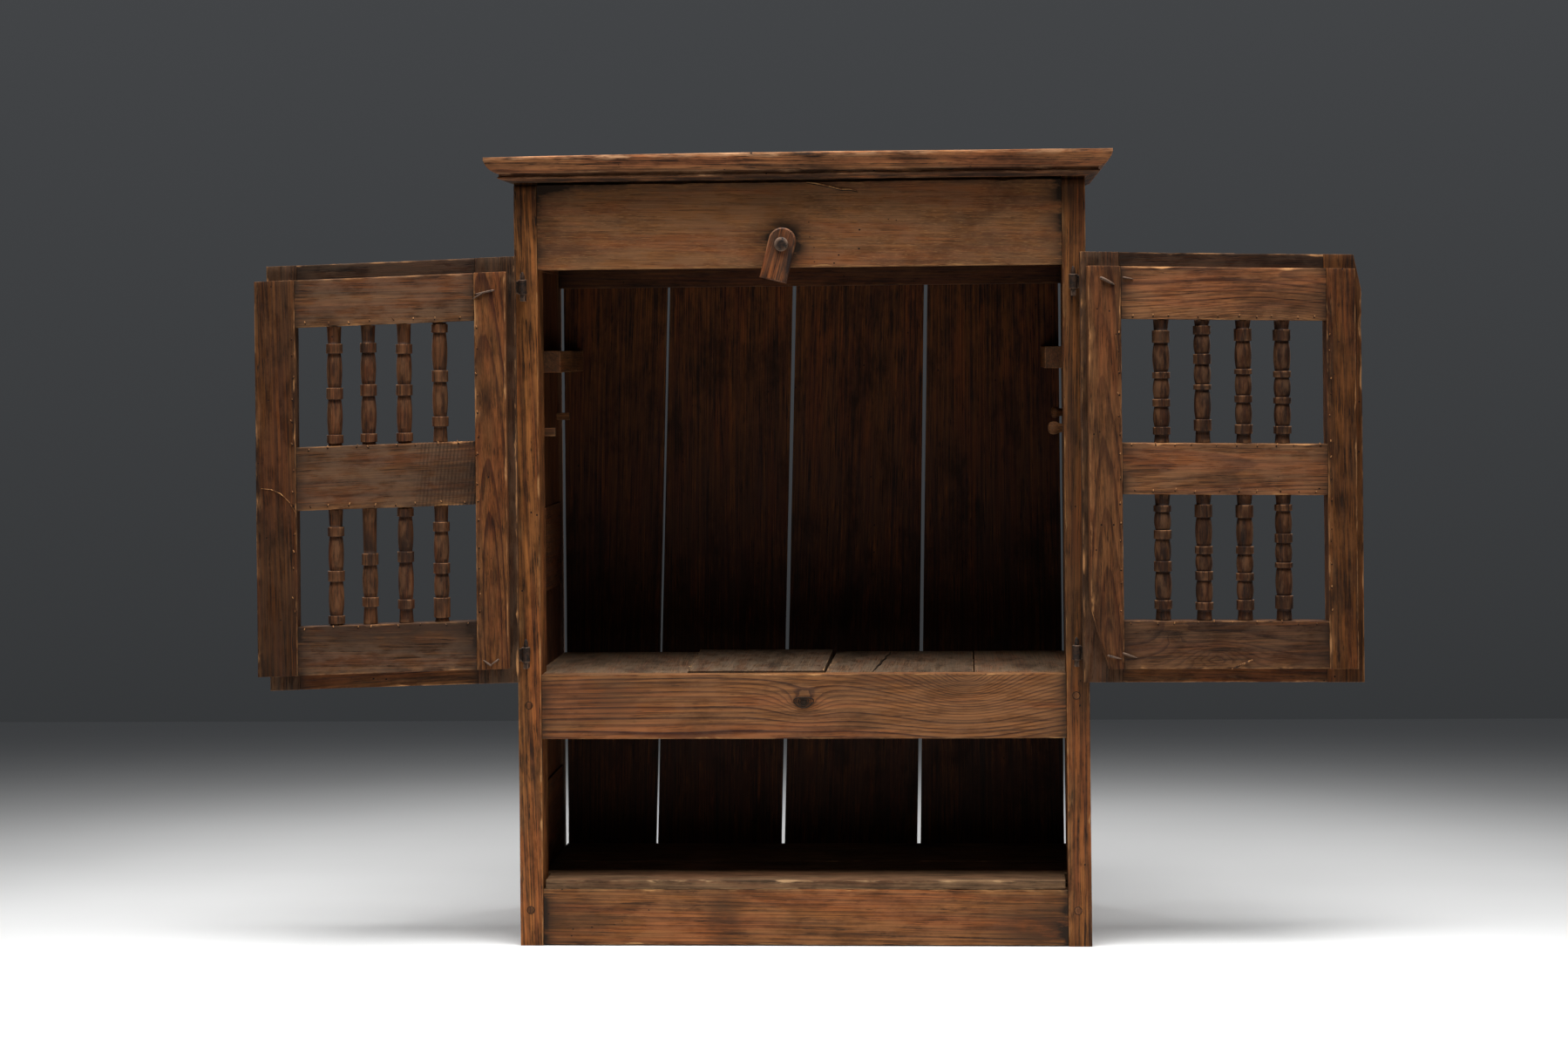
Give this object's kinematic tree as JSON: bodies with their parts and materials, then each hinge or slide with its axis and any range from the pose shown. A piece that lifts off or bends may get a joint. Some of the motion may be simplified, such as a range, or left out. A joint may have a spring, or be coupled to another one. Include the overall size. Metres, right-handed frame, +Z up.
{
  "type": "two-door cupboard",
  "caption": "Rustic wooden cupboard with spindled doors on pintles, a plank back, one shelf, a cornice and a turn button.",
  "frame": {"origin": "middle of the box of the whole part with its doors open, on the floor", "axes": "+X to the right seen from the front, +Y from the front to the back, +Z up"},
  "size_m": [1.9451, 0.4745, 1.396],
  "materials": {
    "frame_wood": "old, waxed and worn",
    "door_wood": "old, waxed and worn",
    "spindle_wood": "old, waxed and worn",
    "inner_wood": "old, waxed and worn",
    "shelf_wood": "old, waxed and worn",
    "cornice_wood": "old, waxed and worn",
    "button_wood": "old, waxed and worn",
    "peg_wood": "old, waxed and worn",
    "iron": "forged, dark and worn"
  },
  "bodies": {
    "case": {"back_bottom_rail": "inner_wood", "back_middle_rail": "inner_wood", "back_nails": "iron", "back_plank_1": "inner_wood", "back_plank_2": "inner_wood", "back_plank_3": "inner_wood", "back_plank_4": "inner_wood", "back_post_left": "frame_wood", "back_post_right": "frame_wood", "back_top_rail": "inner_wood", "board_bearers": "shelf_wood", "bottom_rail": "frame_wood", "cornice_front": "cornice_wood", "cornice_left": "cornice_wood", "cornice_right": "cornice_wood", "floor_board_back": "shelf_wood", "floor_board_front": "shelf_wood", "frame_pegs": "peg_wood", "frieze_rail": "frame_wood", "front_post_left": "frame_wood", "front_post_right": "frame_wood", "latch_bolt": "iron", "middle_rail": "frame_wood", "pintles": "iron", "shelf_board_1": "shelf_wood", "shelf_board_2": "shelf_wood", "shelf_board_3": "shelf_wood", "shelf_board_4": "shelf_wood", "shelf_pegs": "peg_wood", "side_bottom_rail_left": "inner_wood", "side_bottom_rail_right": "inner_wood", "side_lower_panel_left": "inner_wood", "side_lower_panel_right": "inner_wood", "side_middle_rail_left": "inner_wood", "side_middle_rail_right": "inner_wood", "side_top_rail_left": "inner_wood", "side_top_rail_right": "inner_wood", "side_upper_panel_left": "inner_wood", "side_upper_panel_right": "inner_wood", "top_board_back": "cornice_wood", "top_board_front": "cornice_wood", "upper_cleats": "peg_wood"},
    "left_door": {"left_door_bottom_rail": "door_wood", "left_door_hinge_stile": "door_wood", "left_door_hinge_straps": "iron", "left_door_lower_spindles": "spindle_wood", "left_door_meeting_stile": "door_wood", "left_door_middle_rail": "door_wood", "left_door_top_rail": "door_wood", "left_door_upper_spindles": "spindle_wood"},
    "right_door": {"right_door_bottom_rail": "door_wood", "right_door_hinge_stile": "door_wood", "right_door_hinge_straps": "iron", "right_door_lower_spindles": "spindle_wood", "right_door_meeting_stile": "door_wood", "right_door_middle_rail": "door_wood", "right_door_top_rail": "door_wood", "right_door_upper_spindles": "spindle_wood"},
    "latch": {"turn_button": "button_wood"}
  },
  "joints": [
    {"name": "left_door_hinge", "type": "hinge", "parent": "case", "child": "left_door", "pos_m": [-0.50201, -0.20125, 0.841], "axis": [0, 0, 1], "range_deg": [-33, 180]},
    {"name": "right_door_hinge", "type": "hinge", "parent": "case", "child": "right_door", "pos_m": [0.46599, -0.20125, 0.841], "axis": [0, 0, -1], "range_deg": [-22, 188]},
    {"name": "turn_button_pivot", "type": "hinge", "parent": "case", "child": "latch", "pos_m": [-0.04301, -0.18425, 1.235], "axis": [0, 1, 0], "continuous": true}
  ]
}
